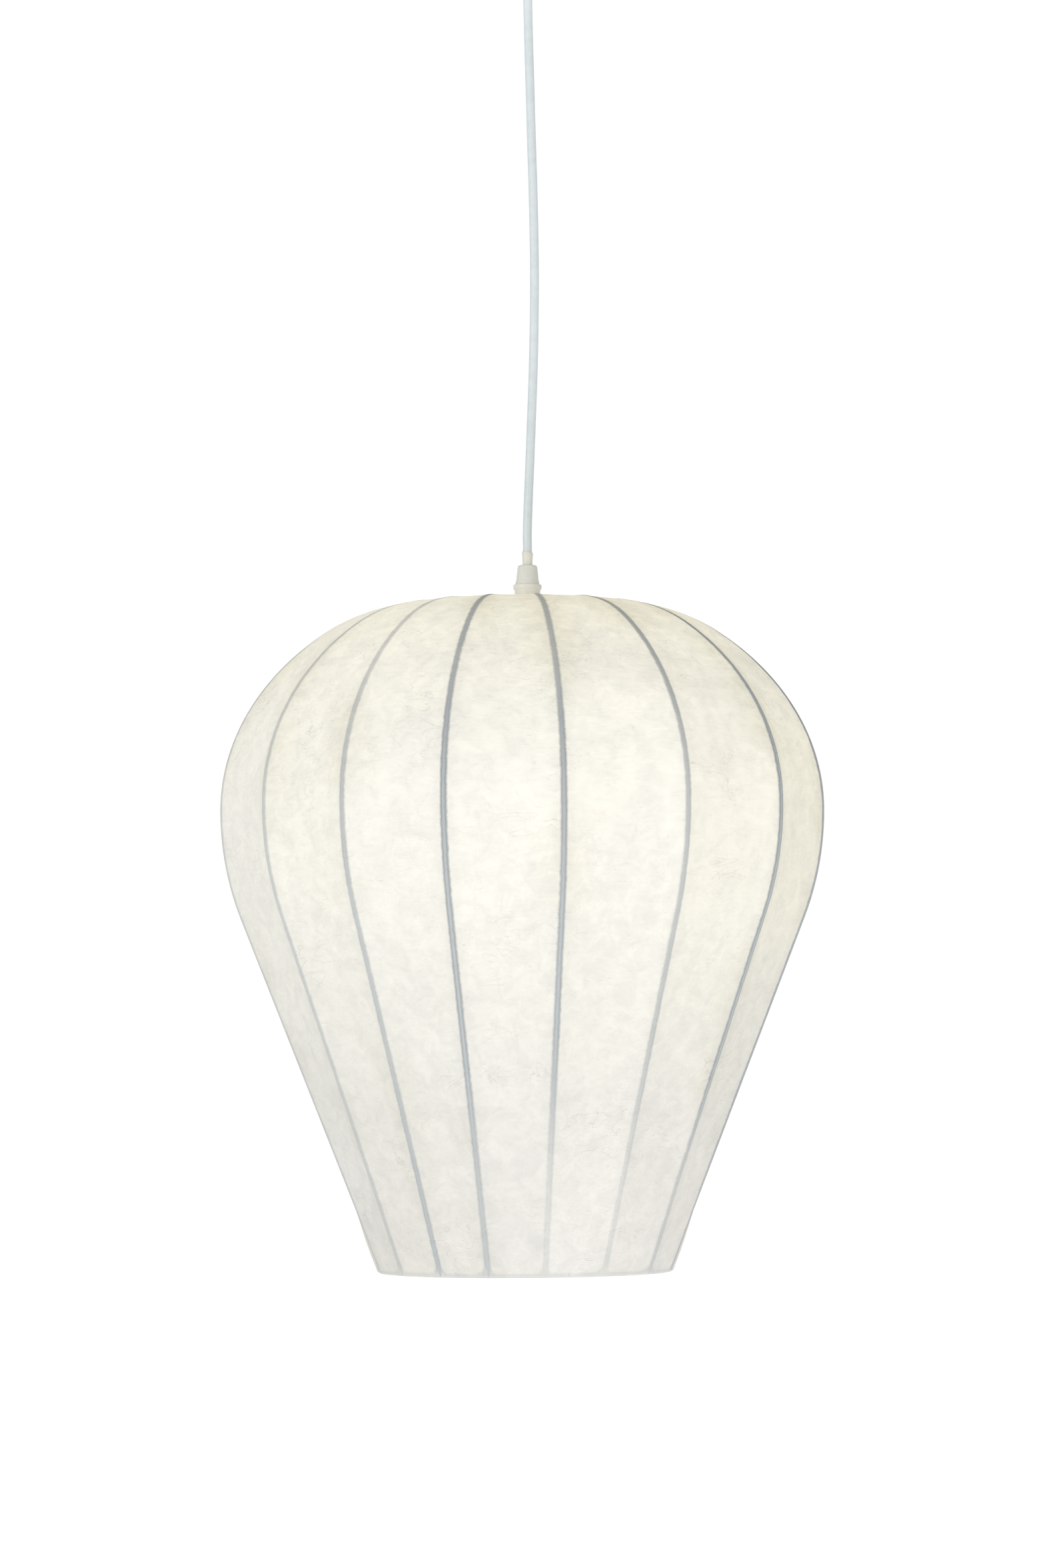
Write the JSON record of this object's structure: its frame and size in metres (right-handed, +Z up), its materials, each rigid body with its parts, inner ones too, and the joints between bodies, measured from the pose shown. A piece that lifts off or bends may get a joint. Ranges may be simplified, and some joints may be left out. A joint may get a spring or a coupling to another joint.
{
  "type": "paper pendant lantern",
  "caption": "Balloon-shaped pendant lantern: non-woven silk paper stretched over bent wire ribs, hung on a round flex from a ceiling rose, with a screw-in lamp inside.",
  "frame": {"origin": "centre of the ceiling strap's top face, on the ceiling, straight above the lantern's axis", "axes": "+Z up; the lantern hangs down along -Z and its front faces -Y"},
  "size_m": [0.3989, 0.4005, 0.9207],
  "materials": {
    "paper": "translucent fibrous non-woven paper",
    "wire": "white lacquered steel wire",
    "flex": "smooth satin PVC",
    "sleeve": "soft satin plastic",
    "holder_plastic": "moulded thermoplastic, finely ribbed on the grip",
    "rubber": "matt",
    "steel": "zinc plated",
    "brass": "stamped",
    "ceramic": "smooth insulating ceramic",
    "lamp_plastic": "smooth",
    "insulator": "glossy black",
    "opal": "opal diffuser",
    "core_brown": "core insulation",
    "core_blue": "core insulation"
  },
  "bodies": {
    "rose": {"ceiling_strap": "steel", "rose_cover": "holder_plastic", "cover_screw_left": "steel", "cover_screw_right": "steel", "rose_grip": "holder_plastic", "terminal_block": "ceramic", "terminal_screw_live": "brass", "terminal_screw_neutral": "brass", "flex_tail": "flex", "core_live": "core_brown", "core_neutral": "core_blue"},
    "swivel": {"rose_bush": "rubber"},
    "flex": {"pendant_flex": "flex", "flex_sleeve": "sleeve"},
    "lantern": {"grip_cap": "holder_plastic", "neck_collar": "holder_plastic", "hub_nipple": "brass", "hub_washer": "wire", "spoke_1": "wire", "spoke_2": "wire", "spoke_3": "wire", "spoke_4": "wire", "top_ring": "wire", "rim_ring": "wire", "rib_01": "wire", "rib_02": "wire", "rib_03": "wire", "rib_04": "wire", "rib_05": "wire", "rib_06": "wire", "rib_07": "wire", "rib_08": "wire", "rib_09": "wire", "rib_10": "wire", "rib_11": "wire", "rib_12": "wire", "rib_13": "wire", "rib_14": "wire", "rib_15": "wire", "rib_16": "wire", "paper_skin": "paper", "holder_cap": "holder_plastic", "holder_body": "holder_plastic", "holder_insert": "ceramic", "screw_shell": "brass", "middle_contact": "brass"},
    "lamp_contact": {"lamp_foot_contact": "brass"},
    "lamp": {"lamp_insulator": "insulator", "lamp_cap": "brass", "lamp_body": "lamp_plastic", "led_board": "steel", "lamp_dome": "opal"}
  },
  "joints": [
    {"name": "swing_sideways", "type": "hinge", "parent": "rose", "child": "swivel", "pos_m": [0, 0, -0.05], "axis": [0, 1, 0], "range_deg": [-15, 15]},
    {"name": "swing_forwards", "type": "hinge", "parent": "swivel", "child": "flex", "pos_m": [0, 0, -0.05], "axis": [1, 0, 0], "range_deg": [-15, 15]},
    {"name": "lantern_turn", "type": "hinge", "parent": "flex", "child": "lantern", "pos_m": [0, 0, -0.4526], "axis": [0, 0, 1], "range_deg": [-90, 90]},
    {"name": "lamp_unscrew", "type": "hinge", "parent": "lamp_contact", "child": "lamp", "pos_m": [0, 0, -0.55], "axis": [0, 0, -1], "range_deg": [0, 1800]},
    {"name": "lamp_lower", "type": "slide", "parent": "lantern", "child": "lamp_contact", "axis": [0, 0, -1], "range_m": [0, 0.0182]}
  ],
  "couplings": [
    {"joint": "lamp_lower", "follows": "lamp_unscrew", "m_per_rad": 0.00057757}
  ]
}
